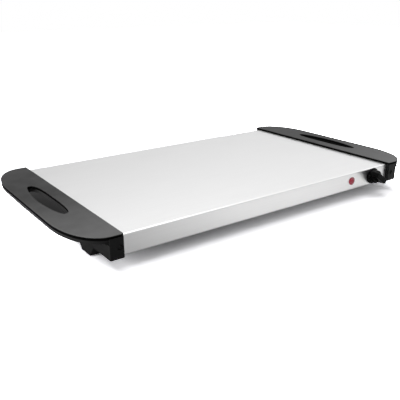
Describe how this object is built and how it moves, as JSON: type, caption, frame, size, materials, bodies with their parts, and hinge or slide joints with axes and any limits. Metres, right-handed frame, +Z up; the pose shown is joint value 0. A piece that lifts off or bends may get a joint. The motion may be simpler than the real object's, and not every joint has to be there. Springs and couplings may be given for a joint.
{
  "type": "electric food warmer tray",
  "caption": "Flat electric warming tray: steel hot plate between two black handled end caps on legs, with a rotary thermostat and pilot lamp.",
  "frame": {"origin": "the middle of the tray's whole outline, on the surface that it stands on", "axes": "+X along the hot plate towards the thermostat's end, +Y from the front skirt with the controls to the back, +Z up"},
  "size_m": [0.744, 0.422, 0.0575],
  "materials": {
    "steel_top": "fine satin brushing along the length, light, with soft rounded bends",
    "galvanised_base": "zinc-coated sheet, dull grey",
    "black_plastic": "moulded phenolic, black, fine even texture",
    "grey_black_plastic": "moulded, charcoal, satin",
    "knob_plastic": "moulded, black, polished",
    "rubber_pad": "black, matt",
    "zinc_steel": "zinc-plated steel, bright",
    "blackened_steel": "blackened screw steel",
    "aluminium_sheet": "rolled sheet",
    "silicone_cable": "sleeved heating cable, rust red",
    "glass_wool": "needled glass fibre mat",
    "brass": "turned brass",
    "ceramic_white": "white insulating moulding",
    "copper_strip": "bright strip",
    "lamp_red": "deep red lens",
    "neon_glass": "small neon bulb",
    "lead_brown": "insulated lead, brown",
    "lead_blue": "insulated lead, blue",
    "lead_green": "insulated lead, green and yellow",
    "lead_red": "insulated lead, red"
  },
  "bodies": {
    "tray": {"top_shell": "steel_top", "base_plate": "galvanised_base", "base_screws": "zinc_steel", "left_end_cap": "black_plastic", "right_end_cap": "black_plastic", "left_handle_cover": "grey_black_plastic", "right_handle_cover": "grey_black_plastic", "left_handle_screws": "zinc_steel", "right_handle_screws": "zinc_steel", "left_cap_screws": "blackened_steel", "right_cap_screws": "blackened_steel", "foot_front_left": "rubber_pad", "foot_front_right": "rubber_pad", "foot_back_left": "rubber_pad", "foot_back_right": "rubber_pad", "heat_spreader": "aluminium_sheet", "heating_cable": "silicone_cable", "backing_foil": "aluminium_sheet", "insulation_mat": "glass_wool", "mat_bars": "galvanised_base", "bar_nuts": "zinc_steel", "thermostat_bushing": "brass", "thermostat_washer": "zinc_steel", "thermostat_nut": "zinc_steel", "thermostat_bracket": "zinc_steel", "thermostat_body": "ceramic_white", "bimetal_blade": "copper_strip", "contact_blade": "copper_strip", "thermostat_terminals": "copper_strip", "lamp_lens": "lamp_red", "lamp_barrel": "black_plastic", "lamp_nut": "zinc_steel", "lamp_bulb": "neon_glass", "lamp_tabs": "copper_strip", "terminal_block": "ceramic_white", "terminal_screws": "zinc_steel", "thermal_cutout": "aluminium_sheet", "cutout_clip": "zinc_steel", "earth_lug": "brass", "earth_nut": "zinc_steel", "cord_gland": "black_plastic", "gland_locknut": "black_plastic", "live_lead": "lead_brown", "neutral_lead": "lead_blue", "earth_lead": "lead_green", "switched_lead": "lead_red", "cutout_lead": "lead_red", "lamp_leads": "lead_red"},
    "control": {"knob": "knob_plastic", "thermostat_shaft": "zinc_steel", "shaft_clip": "zinc_steel", "knob_spring": "zinc_steel"}
  },
  "joints": [
    {"name": "thermostat_turn", "type": "hinge", "parent": "tray", "child": "control", "pos_m": [0.257, -0.186, 0.037], "axis": [0, 1, 0], "range_deg": [0, 270]}
  ]
}
